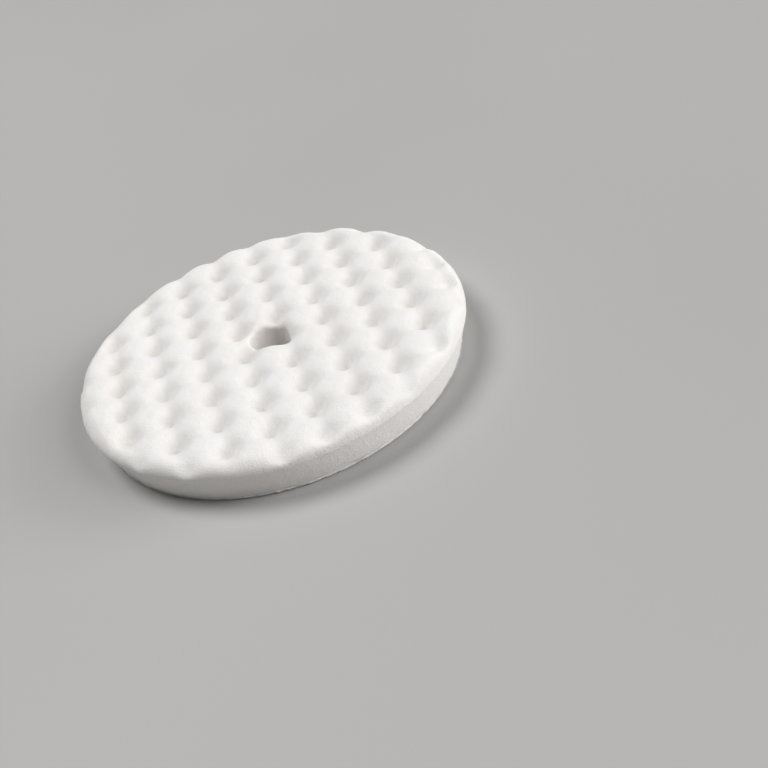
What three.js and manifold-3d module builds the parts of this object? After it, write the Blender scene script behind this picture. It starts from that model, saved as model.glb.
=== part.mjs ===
// A waffle-faced foam pad for a rotary polisher: a convoluted open-cell foam
// disc, a hot-melt film, and a brushed loop cloth that grips the hook face of a
// backing plate. Printed films sit flush in the loop cloth.
//
// Millimetres, +Z up. The pad lies as it is stored: loop cloth down on z = 0,
// waffle face up. The origin is the centre of the cloth's face, on the axis of
// the centring hole.

import * as THREE from 'three';
import { mergeVertices } from 'three/addons/utils/BufferGeometryUtils.js';
import Module from 'manifold-3d';

const wasm = await Module();
wasm.setup();

// ---------------------------------------------------------------- dimensions

const FACE_R = 100;          // widest radius, just under the waffle face
const BACK_R = 93.6;         // radius at the loop cloth: the wall tapers
const THICKNESS = 24.5;      // loop face to the tops of the waffle bumps
const HOLE_R = 10.1;         // centring hole, straight through all layers

const CLOTH_T = 1.6;         // brushed loop cloth
const FILM_T = 0.3;          // hot-melt film between cloth and foam

const WAFFLE_X = 28.1;       // pitch between hollows along X
const WAFFLE_Y = 33.3;       // pitch between hollows along Y
const SKIRT = 2.9;           // depth of the broad, shallow part of a hollow
const SKIRT_POWER = 1.6;
const PIT = 4.7;             // depth of the steeper pit in its middle
const PIT_POWER = 4.6;
const WAFFLE_AT = [9.8, 0.2]; // one hollow's centre, from the pad's axis
const FADE_FROM = 86;        // hollows get shallower outside this radius
const FADE_TO = 102;
const FADE_LEFT = 0.85;      // share of the depth left there
const PIT_FROM = 84;         // the pits die out sooner than the shallow part
const PIT_TO = 98;
const PIT_LEFT = 0.35;
const RIM_ROUND = 6;         // rounding where the face meets the wall
const RIM_FADE = 0.2;        // share of a hollow's depth left at the widest radius

const PITCH = 3.5;           // facet size on the waffle face

const PRINT_T = 0.3;         // transfer print, pressed into the cloth
const PRINT_GAP = 0.3;       // clearance round each print in its pocket

// Prints, as seen with +Y up and +X to the right: [x, y, width, height, corner]
const GRADE_BAR = [0, 66, 40, 24, 12];
const DASH = { y: 30.5, w: 16, h: 5.2, r: 1.2, pitch: 22.6, count: 5 };
const DOT = [-3, -61.5, 11, 11, 5.5];
const RULE = [1.5, -71.5, 22, 3, 1.5];

const COLOURS = {
  foam: new THREE.Color().setRGB(0.93, 0.93, 0.92, THREE.SRGBColorSpace),
  film: new THREE.Color().setRGB(0.88, 0.87, 0.82, THREE.SRGBColorSpace),
  cloth: new THREE.Color().setRGB(0.90, 0.89, 0.88, THREE.SRGBColorSpace),
  red: new THREE.Color().setRGB(0.86, 0.02, 0.13, THREE.SRGBColorSpace),
  black: new THREE.Color().setRGB(0.03, 0.03, 0.03, THREE.SRGBColorSpace),
};

const mat = (color, roughness) =>
  new THREE.MeshStandardMaterial({ color, roughness, metalness: 0 });

const foamMat = mat(COLOURS.foam, 0.95);
const filmMat = mat(COLOURS.film, 0.5);
const clothMat = mat(COLOURS.cloth, 0.9);
const redMat = mat(COLOURS.red, 0.6);
const blackMat = mat(COLOURS.black, 0.6);

// ------------------------------------------------------------------- helpers

// 1 inside the start radius, easing down to the share left at the end radius.
function dying(r, start, end, left) {
  const t = Math.min(1, Math.max(0, (r - start) / (end - start)));
  return 1 - (1 - left) * t * t * (3 - 2 * t);
}

// Height of the waffle face at (x, y), below the bump tops, from 0 down to
// -(SKIRT + PIT). Hollows lie on a centred rectangular grid.
function waffle(x, y) {
  const u = (2 * Math.PI * (x - WAFFLE_AT[0])) / WAFFLE_X;
  const v = (2 * Math.PI * (y - WAFFLE_AT[1])) / WAFFLE_Y;
  const h = 0.5 * (1 + Math.cos(u) * Math.cos(v));
  const r = Math.hypot(x, y);
  const pit = PIT * h ** PIT_POWER * dying(r, PIT_FROM, PIT_TO, PIT_LEFT);
  return -(SKIRT * h ** SKIRT_POWER + pit) * dying(r, FADE_FROM, FADE_TO, FADE_LEFT);
}

// Points round a circle at radius r; z is a number or a function of (x, y).
function ring(r, z, n) {
  const points = [];
  for (let i = 0; i < n; i += 1) {
    const a = (2 * Math.PI * i) / n;
    const x = r * Math.cos(a);
    const y = r * Math.sin(a);
    points.push([x, y, typeof z === 'function' ? z(x, y, r) : z]);
  }
  return points;
}

// A closed body from rings that run round its section and back to the first.
// Neighbouring rings may have different numbers of points.
function ringBody(rings) {
  const position = [];
  const start = [];
  for (const points of rings) {
    start.push(position.length / 3);
    for (const p of points) position.push(...p);
  }
  const index = [];
  rings.forEach((lower, k) => {
    const upper = rings[(k + 1) % rings.length];
    const a0 = start[k];
    const b0 = start[(k + 1) % rings.length];
    const na = lower.length;
    const nb = upper.length;
    let i = 0;
    let j = 0;
    while (i < na || j < nb) {
      const stepA = j >= nb || (i < na && (i + 0.5) / na <= (j + 0.5) / nb);
      if (stepA) {
        index.push(a0 + (i % na), b0 + (j % nb), a0 + ((i + 1) % na));
        i += 1;
      } else {
        index.push(a0 + (i % na), b0 + (j % nb), b0 + ((j + 1) % nb));
        j += 1;
      }
    }
  });
  const geometry = new THREE.BufferGeometry();
  geometry.setAttribute('position', new THREE.Float32BufferAttribute(position, 3));
  geometry.setIndex(index);
  return geometry;
}

function toManifold(geometry) {
  const bare = geometry.clone();
  bare.deleteAttribute('normal');
  bare.deleteAttribute('uv');
  const merged = mergeVertices(bare, 1e-4);
  return new wasm.Manifold(new wasm.Mesh({
    numProp: 3,
    vertProperties: new Float32Array(merged.attributes.position.array),
    triVerts: new Uint32Array(merged.index.array),
  }));
}

function fromManifold(solid) {
  const mesh = solid.getMesh();
  const geometry = new THREE.BufferGeometry();
  geometry.setAttribute('position', new THREE.BufferAttribute(new Float32Array(mesh.vertProperties), 3));
  geometry.setIndex(new THREE.BufferAttribute(new Uint32Array(mesh.triVerts), 1));
  return geometry;
}

function finish(geometry) {
  geometry.computeVertexNormals();
  return geometry;
}

// Rectangle with round corners, centred on (x, y).
function roundedShape([x, y, w, h, r]) {
  const hw = w / 2;
  const hh = h / 2;
  const k = Math.min(r, hw - 0.01, hh - 0.01);
  const shape = new THREE.Shape();
  shape.moveTo(x - hw + k, y - hh);
  shape.lineTo(x + hw - k, y - hh);
  shape.absarc(x + hw - k, y - hh + k, k, -Math.PI / 2, 0, false);
  shape.lineTo(x + hw, y + hh - k);
  shape.absarc(x + hw - k, y + hh - k, k, 0, Math.PI / 2, false);
  shape.lineTo(x - hw + k, y + hh);
  shape.absarc(x - hw + k, y + hh - k, k, Math.PI / 2, Math.PI, false);
  shape.lineTo(x - hw, y - hh + k);
  shape.absarc(x - hw + k, y - hh + k, k, Math.PI, 1.5 * Math.PI, false);
  return shape;
}

// The prints are read from below, so their layout is mirrored in X.
function plate([x, y, w, h, r], grow, z0, z1, segments = 5) {
  const spec = [-x, y, w + 2 * grow, h + 2 * grow, r + grow];
  const geometry = new THREE.ExtrudeGeometry(roundedShape(spec), {
    depth: z1 - z0,
    bevelEnabled: false,
    curveSegments: segments,
  });
  geometry.translate(0, 0, z0);
  return geometry;
}

// --------------------------------------------------------------------- foam

const FOAM_Z0 = CLOTH_T + FILM_T;
const WALL_TOP = THICKNESS - RIM_ROUND;
const wallRadius = (z) => BACK_R + ((FACE_R - BACK_R) * z) / WALL_TOP;
const count = (r) => Math.max(32, 8 * Math.round((2 * Math.PI * r) / PITCH / 8));

function foamDisc() {
  const rings = [];
  // up the wall of the hole, then out across the waffle face
  rings.push(ring(HOLE_R, FOAM_Z0, count(HOLE_R)));
  rings.push(ring(HOLE_R, (x, y) => THICKNESS + waffle(x, y), count(HOLE_R)));
  const flatR = FACE_R - RIM_ROUND;
  const steps = Math.round((flatR - HOLE_R) / (PITCH * 0.87));
  for (let i = 1; i <= steps; i += 1) {
    const r = HOLE_R + ((flatR - HOLE_R) * i) / steps;
    rings.push(ring(r, (x, y) => THICKNESS + waffle(x, y), count(r)));
  }
  // round the rim over; the bumps die out on the way down to the wall
  const rimSteps = 4;
  for (let i = 1; i <= rimSteps; i += 1) {
    const a = (Math.PI / 2) * (i / rimSteps);
    const r = flatR + RIM_ROUND * Math.sin(a);
    const drop = RIM_ROUND * (1 - Math.cos(a));
    const fade = RIM_FADE + (1 - RIM_FADE) * Math.max(0, Math.cos(a)) ** 1.5;
    rings.push(ring(r, (x, y) => THICKNESS - drop + waffle(x, y) * fade, count(FACE_R)));
  }
  // down the tapered wall to the film
  rings.push(ring(wallRadius(WALL_TOP * 0.55), WALL_TOP * 0.55, count(FACE_R)));
  rings.push(ring(wallRadius(FOAM_Z0), FOAM_Z0, count(FACE_R)));
  return finish(ringBody(rings));
}

// --------------------------------------------------------- flat round layers

function flatRing(outer, z0, z1, r0 = outer, r1 = outer) {
  const n = count(FACE_R);
  const m = count(HOLE_R);
  return ringBody([
    ring(HOLE_R, z0, m),
    ring(HOLE_R, z1, m),
    ring(r1, z1, n),
    ring(r0, z0, n),
  ]);
}

const prints = [];
prints.push(['grade_bar_print', GRADE_BAR, redMat, 8]);
for (let i = 0; i < DASH.count; i += 1) {
  const x = (i - (DASH.count - 1) / 2) * DASH.pitch;
  prints.push([`dash_print_${i + 1}`, [x, DASH.y, DASH.w, DASH.h, DASH.r], blackMat, 2]);
}
prints.push(['dot_print', DOT, blackMat, 6]);
prints.push(['rule_print', RULE, blackMat, 4]);

function loopBacking() {
  let solid = toManifold(flatRing(0, 0, CLOTH_T, wallRadius(0), wallRadius(CLOTH_T)));
  for (const [, spec, , segments] of prints) {
    solid = solid.subtract(toManifold(plate(spec, PRINT_GAP, -1, PRINT_T, segments)));
  }
  return finish(fromManifold(solid));
}

// ----------------------------------------------------------------- assembly

const pad = new THREE.Group();

function add(name, geometry, material) {
  const mesh = new THREE.Mesh(geometry, material);
  mesh.name = name;
  pad.add(mesh);
  return mesh;
}

add('foam_disc', foamDisc(), foamMat);
add('adhesive_film', finish(flatRing(0, CLOTH_T, FOAM_Z0, wallRadius(CLOTH_T), wallRadius(FOAM_Z0))), filmMat);
add('loop_backing', loopBacking(), clothMat);
for (const [name, spec, material, segments] of prints) {
  add(name, plate(spec, 0, 0, PRINT_T, segments), material);
}

export default pad;
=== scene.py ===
import math

import bpy
import numpy as np
from mathutils import Matrix, Vector


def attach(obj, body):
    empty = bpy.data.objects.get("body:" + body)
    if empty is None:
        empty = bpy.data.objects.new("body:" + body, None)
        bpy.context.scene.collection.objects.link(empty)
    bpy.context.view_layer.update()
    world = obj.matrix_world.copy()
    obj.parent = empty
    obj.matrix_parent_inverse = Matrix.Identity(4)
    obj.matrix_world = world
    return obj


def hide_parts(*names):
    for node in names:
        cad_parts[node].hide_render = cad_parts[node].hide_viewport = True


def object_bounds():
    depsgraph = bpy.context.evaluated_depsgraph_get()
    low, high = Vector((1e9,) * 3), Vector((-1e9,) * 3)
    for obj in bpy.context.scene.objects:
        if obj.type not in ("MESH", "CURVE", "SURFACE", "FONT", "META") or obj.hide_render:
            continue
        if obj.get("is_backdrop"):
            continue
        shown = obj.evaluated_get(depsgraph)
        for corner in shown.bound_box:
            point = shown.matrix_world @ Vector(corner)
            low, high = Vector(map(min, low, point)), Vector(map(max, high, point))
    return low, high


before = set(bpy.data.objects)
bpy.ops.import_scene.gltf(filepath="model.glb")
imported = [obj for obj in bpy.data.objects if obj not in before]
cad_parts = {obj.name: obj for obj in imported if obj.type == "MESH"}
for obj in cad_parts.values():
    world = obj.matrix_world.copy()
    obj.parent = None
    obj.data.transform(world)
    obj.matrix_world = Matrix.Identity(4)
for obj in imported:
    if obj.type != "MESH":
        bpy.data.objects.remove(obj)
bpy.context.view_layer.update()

MM = 0.001

# ------------------------------------------------------------------ geometry
# The same driving sizes as the CAD part, in millimetres.
FACE_R, BACK_R, THICK, HOLE_R = 100.0, 93.6, 24.5, 10.1
CLOTH_T, FILM_T = 1.6, 0.3
WAFFLE_X, WAFFLE_Y = 28.1, 33.3
SKIRT, SKIRT_POWER = 2.9, 1.6       # the broad, shallow part of a hollow
PIT, PIT_POWER = 4.7, 4.6           # the steeper pit in its middle
DEPTH = SKIRT + PIT
WAFFLE_AT = (9.8, 0.2)
RIM_ROUND, RIM_FADE = 6.0, 0.2
FADE_FROM, FADE_TO, FADE_LEFT = 86.0, 102.0, 0.85
PIT_FROM, PIT_TO, PIT_LEFT = 84.0, 98.0, 0.35         # the pits go before the skirts do
HOLE_ROUND = 4.6
LIP_SHARP = math.radians(-55)       # the sharper side of the hole's lip, a fit
FOAM_Z0 = CLOTH_T + FILM_T
WALL_TOP = THICK - RIM_ROUND


def smooth_noise(seed, n, scale, amp):
    """A sum of plane waves: a smooth, repeatable unevenness through space."""
    r = np.random.default_rng(seed)
    k = r.normal(size=(n, 3)) / scale
    ph = r.uniform(0, 2 * np.pi, n)

    def f(x, y, z=0.0):
        s = 0
        for (a, b, c), p in zip(k, ph):
            s = s + np.sin(a * x + b * y + c * z + p)
        return amp * s * math.sqrt(2.0 / n)
    return f


slow = smooth_noise(5, 18, 17.0, 0.22)       # the cut wanders a little
bumpy = smooth_noise(3, 36, 2.6, 0.038)      # crushed and pulled cells
grain = smooth_noise(9, 48, 0.85, 0.038)     # open pores


def dying(r, start, end, left):
    t = np.clip((r - start) / (end - start), 0, 1)
    return 1 - (1 - left) * t * t * (3 - 2 * t)


def hollow(x, y):
    u = 2 * np.pi * (x - WAFFLE_AT[0]) / WAFFLE_X
    v = 2 * np.pi * (y - WAFFLE_AT[1]) / WAFFLE_Y
    h = 0.5 * (1 + np.cos(u) * np.cos(v))
    r = np.hypot(x, y)
    fade = dying(r, FADE_FROM, FADE_TO, FADE_LEFT)
    pit = PIT * h ** PIT_POWER * dying(r, PIT_FROM, PIT_TO, PIT_LEFT)
    return (SKIRT * h ** SKIRT_POWER + pit) / DEPTH * fade


def face_z(x, y):
    return THICK - DEPTH * hollow(x, y) + slow(x, y)


def lip(x, y):
    return HOLE_ROUND * (0.575 - 0.425 * np.cos(np.arctan2(y, x) - LIP_SHARP))


def wall_r(z):
    return BACK_R + (FACE_R - BACK_R) * z / WALL_TOP


def ring(r, z, n):
    a = 2 * np.pi * np.arange(n) / n
    x, y = r * np.cos(a), r * np.sin(a)
    zz = z(x, y) if callable(z) else np.full(n, float(z))
    return np.c_[x, y, zz]


def ring_body(rings):
    """Closed rings of points, each with its own count, joined round the section."""
    pts, start = [], []
    for p in rings:
        start.append(sum(len(q) for q in pts))
        pts.append(p)
    faces = []
    m = len(rings)
    for k in range(m):
        a0, b0 = start[k], start[(k + 1) % m]
        na, nb = len(rings[k]), len(rings[(k + 1) % m])
        if na == nb:
            for i in range(na):
                j = (i + 1) % na
                faces.append((a0 + i, b0 + i, b0 + j, a0 + j))
            continue
        i = j = 0
        while i < na or j < nb:
            if j >= nb or (i < na and (i + 0.5) / na <= (j + 0.5) / nb):
                faces.append((a0 + i % na, b0 + j % nb, a0 + (i + 1) % na))
                i += 1
            else:
                faces.append((a0 + i % na, b0 + j % nb, b0 + (j + 1) % nb))
                j += 1
    return np.concatenate(pts), faces


def make(name, pts, faces, sharp=None):
    mesh = bpy.data.meshes.new(name)
    mesh.from_pydata([tuple(p) for p in (np.asarray(pts) * MM)], [], faces)
    mesh.update()
    mesh.polygons.foreach_set("use_smooth", [True] * len(mesh.polygons))
    if sharp:
        mesh.set_sharp_from_angle(angle=math.radians(sharp))
    o = bpy.data.objects.new(name, mesh)
    bpy.context.scene.collection.objects.link(o)
    return o


def normals(o):
    n = np.empty(3 * len(o.data.vertices))
    o.data.vertices.foreach_get("normal", n)
    return n.reshape(-1, 3)


def set_points(o, pts):
    o.data.vertices.foreach_set("co", (pts * MM).ravel())
    o.data.update()


def attribute(o, name, values):
    a = o.data.attributes.new(name, "FLOAT", "POINT")
    a.data.foreach_set("value", np.asarray(values, dtype=np.float32))


# ---------------------------------------------------------------- foam disc
def foam_rings(step):
    count = lambda r: max(56, 8 * round(2 * math.pi * r / step / 8))
    rings, tag = [], []          # tag: 1 on walls, 0 on the waffle face

    def put(p, t):
        rings.append(p)
        tag.append(np.full(len(p), float(t)))

    nh = count(HOLE_R + HOLE_ROUND)
    for f in np.linspace(0, 1, max(6, round(15 / step))):
        put(ring(HOLE_R, lambda x, y: FOAM_Z0 + f * (face_z(x, y) - lip(x, y) - FOAM_Z0), nh), 1)
    for a in (12, 24, 36, 48, 62, 76, 90):
        s, c = math.sin(math.radians(a)), math.cos(math.radians(a))
        put(ring(HOLE_R + HOLE_ROUND * (1 - c), lambda x, y: face_z(x, y) - lip(x, y) * (1 - s), nh), 1 - a / 90)
    flat = FACE_R - RIM_ROUND
    r0 = HOLE_R + HOLE_ROUND
    n = round((flat - r0) / (step * 0.87))
    for i in range(1, n + 1):
        r = r0 + (flat - r0) * i / n
        put(ring(r, face_z, count(r)), 0)
    m = max(6, round(RIM_ROUND * 1.57 / step))
    nn = count(FACE_R)
    for i in range(1, m + 1):
        a = math.pi / 2 * i / m
        drop = RIM_ROUND * (1 - math.cos(a))
        f = RIM_FADE + (1 - RIM_FADE) * max(0.0, math.cos(a)) ** 1.5
        z = lambda x, y: THICK - drop - DEPTH * f * hollow(x, y) + slow(x, y) * f
        put(ring(flat + RIM_ROUND * math.sin(a), z, nn), (i / m) ** 2)
    low_edge = rings[-1]
    w = max(5, round((WALL_TOP - FOAM_Z0) / step))
    for i in range(1, w + 1):
        t = i / w
        p = low_edge.copy()
        z = (1 - t) * low_edge[:, 2] + t * FOAM_Z0
        r = wall_r(z) if t > 0.15 else wall_r(z) * t / 0.15 + FACE_R * (1 - t / 0.15)
        a = np.arctan2(p[:, 1], p[:, 0])
        put(np.c_[r * np.cos(a), r * np.sin(a), z], 1)
    return rings, np.concatenate(tag)


STEP = 0.86
rings, side = foam_rings(STEP)
pts, faces = ring_body(rings)
foam = make("waffle_foam", pts, faces)
nrm = normals(foam)
r_xy = np.hypot(pts[:, 0], pts[:, 1])
held = np.clip((pts[:, 2] - FOAM_Z0) / 2.0, 0, 1)      # the glued edge stays true
lift = bumpy(*pts.T) * (1 - 0.45 * side) + grain(*pts.T)
set_points(foam, pts + nrm * (lift * held)[:, None])
foam.data.set_sharp_from_angle(angle=math.radians(70))
attribute(foam, "side", side)
# painted shade in each hollow: a darker tone, set off its centre; the offset is a fit, with no known cause in the foam
attribute(foam, "hollow", np.where(side < 0.999, hollow(pts[:, 0] + 3.4, pts[:, 1] + 1.6) * (1 - side), 0))
attribute(foam, "bore", np.where(r_xy < HOLE_R + HOLE_ROUND + 0.01, side, 0))

# ---------------------------------------------------------------- loop cloth
nap = smooth_noise(21, 40, 0.75, 0.045)
weft = smooth_noise(23, 30, 3.0, 0.03)
CLOTH_LOW = 0.16


def cloth_rings(step):
    count = lambda r: max(64, 8 * round(2 * math.pi * r / step / 8))
    nh, nn = count(HOLE_R), count(BACK_R) * 2
    out = lambda z: BACK_R + 0.12 + (FACE_R - BACK_R) * z / WALL_TOP
    rings = [ring(HOLE_R + 0.05, CLOTH_LOW + 0.35, nh), ring(HOLE_R + 0.05, CLOTH_T - 0.02, nh)]
    for r in np.linspace(HOLE_R, BACK_R, 8)[1:-1]:
        rings.append(ring(r, CLOTH_T - 0.02, count(r)))
    for dr, z in ((-0.15, CLOTH_T - 0.01), (0.04, CLOTH_T - 0.05), (0.14, CLOTH_T - 0.25), (0.22, 0.95), (0.1, 0.5), (-0.25, 0.24)):
        rings.append(ring(out(z) + dr, z, nn))
    n = round((BACK_R - 1.0 - HOLE_R) / (step * 0.87))
    for i in range(n + 1):
        r = BACK_R - 0.9 + (HOLE_R + 0.4 - BACK_R + 0.9) * i / n
        rings.append(ring(r, CLOTH_LOW, count(r)))
    return rings


pts, faces = ring_body(cloth_rings(1.25))
cloth = make("loop_cloth", pts, faces)
edge = smooth_noise(27, 60, 0.9, 0.13)
r_xy = np.hypot(pts[:, 0], pts[:, 1])
a = np.arctan2(pts[:, 1], pts[:, 0])
rim = np.clip((r_xy - (BACK_R - 1.6)) / 1.2, 0, 1)
r_new = r_xy + rim * edge(*pts.T)
low = (pts[:, 2] < 0.2) & (rim < 1)
z_new = pts[:, 2] + np.where(low, np.clip(nap(*pts.T) + weft(*pts.T), -0.11, 0.16), 0)
set_points(cloth, np.c_[r_new * np.cos(a), r_new * np.sin(a), z_new])
cloth.data.set_sharp_from_angle(angle=math.radians(70))


def tubes(name, paths, radius, sides=3):
    """Short fibres: each path is a few points, the tube closed at both ends."""
    verts, faces = [], []
    for path, rad in zip(paths, radius):
        p = np.asarray(path)
        n = len(p)
        t = np.gradient(p, axis=0)
        t /= np.linalg.norm(t, axis=1)[:, None] + 1e-12
        ref = np.array([0.31, 0.17, 0.93])
        u = np.cross(t, ref)
        u /= np.linalg.norm(u, axis=1)[:, None] + 1e-12
        v = np.cross(t, u)
        b = len(verts)
        for k in range(n):
            for s in range(sides):
                q = 2 * math.pi * s / sides
                verts.append(p[k] + rad * (u[k] * math.cos(q) + v[k] * math.sin(q)))
        for k in range(n - 1):
            for s in range(sides):
                s2 = (s + 1) % sides
                faces.append((b + k * sides + s, b + k * sides + s2, b + (k + 1) * sides + s2, b + (k + 1) * sides + s))
        faces.append(tuple(b + s for s in reversed(range(sides))))
        faces.append(tuple(b + (n - 1) * sides + s for s in range(sides)))
    return make(name, np.array(verts), faces)


def edge_fibres(count, seed):
    """Loops and cut ends of the cloth's pile that stand out round its rim."""
    r = np.random.default_rng(seed)
    paths, radius = [], []
    for i in range(count):
        a = 2 * math.pi * (i + r.uniform(-0.5, 0.5)) / count
        z0 = r.uniform(0.25, CLOTH_T + 0.1)
        ca, sa = math.cos(a), math.sin(a)
        outv, tan = np.array([ca, sa, 0]), np.array([-sa, ca, 0])
        r0 = BACK_R + (FACE_R - BACK_R) * z0 / WALL_TOP - 0.35
        reach = 0.45 + r.gamma(2.0, 0.2)
        along = r.normal(0, 0.35)
        drop = r.normal(-0.05, 0.28)
        if r.random() < 0.55:      # a loop: out, along, and back
            w = r.uniform(0.25, 0.7) * (1 if along > 0 else -1)
            base = [(0, 0, 0), (0.6, 0.15, 0.4), (1.0, 0.5, 1.0), (0.6, 0.85, 1.1), (0.0, 1.0, 0.8)]
            path = [outv * (r0 + reach * o) + tan * (w * t) + np.array([0, 0, z0 + drop * d]) for o, t, d in base]
        else:                      # a cut end
            path = [outv * (r0 + (reach + 0.25) * s) + tan * (along * s * s) + np.array([0, 0, z0 + drop * s * s]) for s in (0, 0.35, 0.7, 1.0)]
        path = [np.array([q[0], q[1], max(0.05, q[2])]) for q in path]
        paths.append(path)
        radius.append(r.uniform(0.03, 0.055))
    return paths, radius


paths, radius = edge_fibres(3000, 31)
fuzz = tubes("cloth_edge_fuzz", paths, radius)


# ----------------------------------------------------------------- materials
class Nodes:
    """A small helper over one material's node tree."""

    def __init__(self, name, rough):
        self.m = bpy.data.materials.new(name)
        self.m.use_nodes = True
        self.t = self.m.node_tree
        self.b = self.t.nodes["Principled BSDF"]
        self.b.inputs["Roughness"].default_value = rough
        self.pos = self.t.nodes.new("ShaderNodeTexCoord").outputs["Object"]

    def link(self, a, b):
        self.t.links.new(a, b)

    def noise(self, per_mm, detail=2.0, rough=0.5, stretch=None):
        n = self.t.nodes.new("ShaderNodeTexNoise")
        n.inputs["Scale"].default_value = per_mm * 1000
        n.inputs["Detail"].default_value = detail
        n.inputs["Roughness"].default_value = rough
        self.link(self.mapped(stretch), n.inputs["Vector"])
        return n.outputs["Fac"]

    def cells(self, per_mm, feature="F1", smooth=None):
        n = self.t.nodes.new("ShaderNodeTexVoronoi")
        n.feature = feature
        n.inputs["Scale"].default_value = per_mm * 1000
        self.link(self.pos, n.inputs["Vector"])
        return n.outputs["Distance"]

    def mapped(self, stretch):
        if not stretch:
            return self.pos
        n = self.t.nodes.new("ShaderNodeMapping")
        n.inputs["Scale"].default_value = stretch
        self.link(self.pos, n.inputs["Vector"])
        return n.outputs["Vector"]

    def attr(self, name):
        n = self.t.nodes.new("ShaderNodeAttribute")
        n.attribute_name = name
        return n.outputs["Fac"]

    def math(self, op, a, b, c=None):
        n = self.t.nodes.new("ShaderNodeMath")
        n.operation = op
        for i, v in enumerate((a, b, c)):
            if v is None:
                continue
            if isinstance(v, (int, float)):
                n.inputs[i].default_value = v
            else:
                self.link(v, n.inputs[i])
        return n.outputs[0]

    def ramp(self, fac, stops):
        n = self.t.nodes.new("ShaderNodeValToRGB")
        e = n.color_ramp.elements
        while len(e) < len(stops):
            e.new(0.5)
        for el, (p, c) in zip(e, stops):
            el.position = p
            el.color = (*c, 1)
        self.link(fac, n.inputs["Fac"])
        return n.outputs["Color"]

    def mix(self, fac, a, b, blend="MIX"):
        n = self.t.nodes.new("ShaderNodeMix")
        n.data_type = "RGBA"
        n.blend_type = blend
        ins = {i.identifier: i for i in n.inputs}
        for key, v in (("Factor_Float", fac), ("A_Color", a), ("B_Color", b)):
            if isinstance(v, (int, float)):
                ins[key].default_value = v
            elif isinstance(v, tuple):
                ins[key].default_value = (*v, 1)
            else:
                self.link(v, ins[key])
        return {o.identifier: o for o in n.outputs}["Result_Color"]

    def bump(self, height, distance_mm, strength=1.0, under=None):
        n = self.t.nodes.new("ShaderNodeBump")
        n.inputs["Strength"].default_value = strength
        n.inputs["Distance"].default_value = distance_mm * MM
        self.link(height, n.inputs["Height"])
        if under is not None:
            self.link(under, n.inputs["Normal"])
        return n.outputs["Normal"]


def foam_material():
    m = Nodes("white_foam", 0.92)
    side_, painted_hollow_shade = m.attr("side"), m.attr("hollow")
    pores = m.cells(1.35)
    fine = m.noise(2.2, 3.0, 0.6)
    cloudy = m.noise(0.035, 2.0, 0.5)
    patchy = m.noise(0.16, 3.0, 0.6)
    tone = m.ramp(cloudy, [(0.30, (0.892, 0.868, 0.848)), (0.70, (0.912, 0.894, 0.880))])
    tone = m.mix(m.math("MULTIPLY", m.math("SUBTRACT", patchy, 0.35), 0.35), tone, (0.81, 0.787, 0.765))
    # pores read as specks, more so on the cut wall than on the face
    speck = m.math("MULTIPLY", m.ramp(pores, [(0.10, (1, 1, 1)), (0.42, (0, 0, 0))]), m.math("MULTIPLY_ADD", side_, 0.16, 0.10))
    tone = m.mix(speck, tone, (0.58, 0.555, 0.53))
    # painted shade: the hollows darkened toward a warm grey
    tone = m.mix(m.math("MULTIPLY", painted_hollow_shade, 0.50), tone, (0.71, 0.685, 0.66))
    # painted shade: the walls a little darker and warmer than the face
    tone = m.mix(m.math("MULTIPLY", side_, 0.36), tone, (0.86, 0.815, 0.775))
    m.link(tone, m.b.inputs["Base Color"])
    n = m.bump(pores, 0.30, 0.55)
    n = m.bump(fine, 0.26, 0.5, n)
    m.link(n, m.b.inputs["Normal"])
    m.b.inputs["Subsurface Weight"].default_value = 0.35
    m.b.inputs["Subsurface Radius"].default_value = (1.0, 0.93, 0.86)
    m.b.inputs["Subsurface Scale"].default_value = 0.0016
    m.b.inputs["Sheen Weight"].default_value = 0.10
    m.b.inputs["Sheen Roughness"].default_value = 0.6
    m.b.inputs["Specular IOR Level"].default_value = 0.2
    return m.m


def cloth_material(name, base, dark):
    m = Nodes(name, 0.88)
    nap_ = m.noise(1.6, 3.0, 0.65)
    clump = m.noise(0.35, 3.0, 0.6)
    rows = m.t.nodes.new("ShaderNodeTexWave")
    rows.wave_type = "BANDS"
    rows.bands_direction = "Y"
    rows.inputs["Scale"].default_value = 130
    rows.inputs["Distortion"].default_value = 2.2
    rows.inputs["Detail"].default_value = 3.0
    rows.inputs["Detail Scale"].default_value = 2.5
    m.link(m.pos, rows.inputs["Vector"])
    tone = m.ramp(nap_, [(0.28, dark), (0.62, base)])
    tone = m.mix(m.math("MULTIPLY", clump, 0.30), tone, tuple(v * 0.92 for v in base))
    tone = m.mix(m.math("MULTIPLY", rows.outputs["Fac"], 0.10), tone, dark)
    m.link(tone, m.b.inputs["Base Color"])
    n = m.bump(nap_, 0.35, 0.8)
    n = m.bump(rows.outputs["Fac"], 0.12, 0.5, n)
    m.link(n, m.b.inputs["Normal"])
    m.b.inputs["Sheen Weight"].default_value = 0.35
    m.b.inputs["Sheen Roughness"].default_value = 0.45
    m.b.inputs["Specular IOR Level"].default_value = 0.25
    return m.m


def fibre_material():
    m = Nodes("pile_fibre", 0.55)
    tone = m.ramp(m.noise(1.2, 2.0, 0.6), [(0.3, (0.80, 0.79, 0.775)), (0.7, (0.93, 0.925, 0.915))])
    m.link(tone, m.b.inputs["Base Color"])
    m.link(m.bump(m.noise(6.0, 1.0, 0.5), 0.02, 0.4), m.b.inputs["Normal"])
    m.b.inputs["Sheen Weight"].default_value = 0.25
    return m.m


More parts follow.
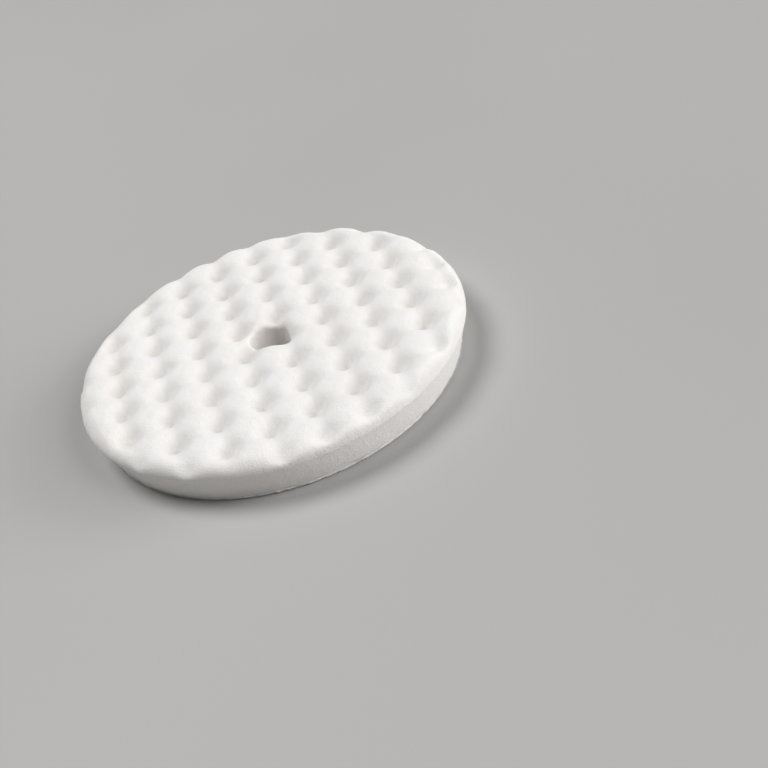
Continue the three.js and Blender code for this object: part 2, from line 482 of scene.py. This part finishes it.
def film_material():
    m = Nodes("hot_melt_film", 0.42)
    web = m.cells(0.55)
    tone = m.ramp(web, [(0.05, (0.80, 0.78, 0.745)), (0.6, (0.87, 0.855, 0.83))])
    m.link(tone, m.b.inputs["Base Color"])
    m.link(m.bump(web, 0.12, 0.6, m.bump(m.noise(1.8, 2.0, 0.5), 0.06, 0.5)), m.b.inputs["Normal"])
    m.link(m.ramp(m.noise(0.4, 2.0, 0.5), [(0.3, (0.34,) * 3), (0.7, (0.56,) * 3)]), m.b.inputs["Roughness"])
    return m.m


def ink_material(name, colour, worn):
    """Ink pressed into the pile: the pile's texture shows, with pinholes."""
    m = Nodes(name, 0.6)
    nap_ = m.noise(1.6, 3.0, 0.65)
    holes = m.noise(2.6, 2.0, 0.55)
    tone = m.mix(m.ramp(nap_, [(0.30, (0.0, 0.0, 0.0)), (0.70, (1, 1, 1))]), tuple(v * 0.72 for v in colour), colour)
    tone = m.mix(m.ramp(holes, [(0.70, (0, 0, 0)), (0.76, (1, 1, 1))]), tone, worn)
    m.link(tone, m.b.inputs["Base Color"])
    m.link(m.bump(nap_, 0.25, 0.7, m.bump(m.noise(0.5, 2.0, 0.5), 0.15, 0.4)), m.b.inputs["Normal"])
    m.link(m.ramp(nap_, [(0.3, (0.72,) * 3), (0.7, (0.48,) * 3)]), m.b.inputs["Roughness"])
    return m.m


foam.data.materials.append(foam_material())
cloth.data.materials.append(cloth_material("loop_cloth", (0.86, 0.853, 0.842), (0.70, 0.69, 0.675)))
fuzz.data.materials.append(fibre_material())

film_mat = film_material()
red_mat = ink_material("red_ink", (0.62, 0.006, 0.022), (0.66, 0.30, 0.29))
black_mat = ink_material("black_ink", (0.014, 0.013, 0.013), (0.22, 0.21, 0.20))
for name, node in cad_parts.items():
    if name in ("foam_disc", "loop_backing"):
        continue
    mat = film_mat if name == "adhesive_film" else red_mat if name == "grade_bar_print" else black_mat
    node.data.materials.clear()
    node.data.materials.append(mat)

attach(foam, "root")
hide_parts("foam_disc")
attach(cloth, "root")
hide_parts("loop_backing")
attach(fuzz, "root")

# -------------------------------------------------------------------- camera
# Rotation and place in the pad's frame (x right, y down, z forward camera
# axes), with lengths in face radii from the tops of the bumps.
R = np.array([
    [0.885375597869878, 0.393596148321007, -0.24737041602306384],
    [0.0655360751435537, -0.6324844436346656, -0.7717956020961285],
    [-0.46023371622615206, 0.6671173064664226, -0.5857810391790182],
])
T = np.array([-0.5841369388210076, -0.25875720274530306, 5.769392577964294])
F_PX = 1153.963
pos = -R.T @ T * FACE_R * MM + np.array([0, 0, THICK * MM])
rot = R.T @ np.diag([1, -1, -1])
cam = bpy.data.objects.new("camera", bpy.data.cameras.new("camera"))
cam.matrix_world = Matrix.Translation(Vector(pos)) @ Matrix(rot.tolist()).to_4x4()
cam.data.sensor_width = 36.0
cam.data.lens = 36.0 * F_PX / 768.0
cam.data.clip_start = 0.01
bpy.context.scene.collection.objects.link(cam)
bpy.context.scene.camera = cam

# --------------------------------------------------------------------- stage
FLOOR_Z = -0.1
floor = make("floor", np.array([[-9000, -9000, FLOOR_Z], [9000, -9000, FLOOR_Z], [9000, 9000, FLOOR_Z], [-9000, 9000, FLOOR_Z]]), [(0, 1, 2, 3)])
paint = Nodes("floor_paint", 0.75)
paint.link(paint.ramp(paint.noise(0.002, 2.0, 0.5), [(0.3, (0.452, 0.446, 0.438)), (0.7, (0.474, 0.468, 0.460))]), paint.b.inputs["Base Color"])
floor.data.materials.append(paint.m)
floor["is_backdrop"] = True

world = bpy.data.worlds.new("studio")
world.use_nodes = True
wt = world.node_tree
up = wt.nodes.new("ShaderNodeSeparateXYZ")
wt.links.new(wt.nodes.new("ShaderNodeTexCoord").outputs["Generated"], up.inputs[0])
sky = wt.nodes.new("ShaderNodeValToRGB")
for el, (p, v) in zip(sky.color_ramp.elements, ((0.05, 0.20), (0.28, 0.06))):
    el.position = p
    el.color = (v, v, v * 1.01, 1)
wt.links.new(up.outputs["Z"], sky.inputs["Fac"])
wt.links.new(sky.outputs["Color"], wt.nodes["Background"].inputs[0])
wt.nodes["Background"].inputs[1].default_value = 1.0
bpy.context.scene.world = world


def softbox(name, az, el, strength, spread, colour=(1, 1, 1)):
    """A far, broad light: its strength is what it gives a surface facing it."""
    d = bpy.data.lights.new(name, "SUN")
    d.energy = strength
    d.angle = math.radians(spread)
    d.color = colour
    o = bpy.data.objects.new(name, d)
    a, e = math.radians(az), math.radians(el)
    p = Vector((math.cos(e) * math.cos(a), math.cos(e) * math.sin(a), math.sin(e)))
    o.location = p
    o.rotation_euler = (-p).to_track_quat("-Z", "Y").to_euler()
    bpy.context.scene.collection.objects.link(o)
    return o


softbox("key", 178, 61, 1.98, 32)
softbox("right", 2, 40, 1.05, 30)
softbox("low_right", 26, 17, 1.65, 30)
bpy.context.scene.view_settings.view_transform = "Standard"

low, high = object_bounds()
